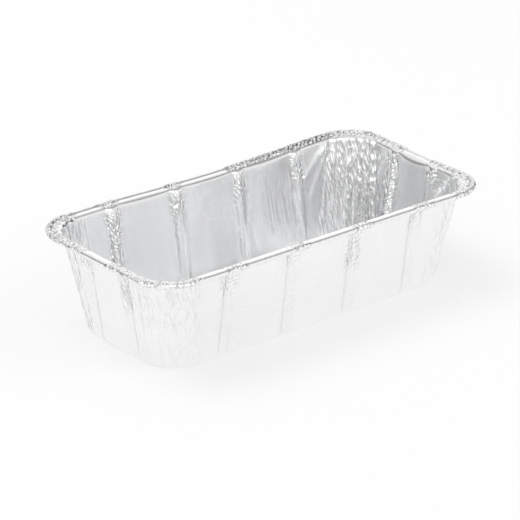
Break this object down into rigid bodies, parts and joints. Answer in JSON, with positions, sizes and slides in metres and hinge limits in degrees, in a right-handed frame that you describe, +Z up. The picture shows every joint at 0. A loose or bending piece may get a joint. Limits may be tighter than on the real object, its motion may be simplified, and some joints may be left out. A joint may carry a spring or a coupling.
{
  "type": "foil loaf pan",
  "caption": "Long rounded-corner loaf pan pressed from one sheet of aluminium foil, with leaning ribbed walls, pleated corners, a stepped flange and a rolled rim.",
  "frame": {"origin": "middle of the pan's box, on the plane of the flat ring that the pan stands on", "axes": "+X along the pan's length, +Y across its width, +Z up through the open mouth"},
  "size_m": [0.2032, 0.1016, 0.0508],
  "materials": {
    "foil": "bright foil, a little brushed along the rolling direction"
  },
  "bodies": {
    "root": {"pan": "foil"}
  },
  "joints": []
}
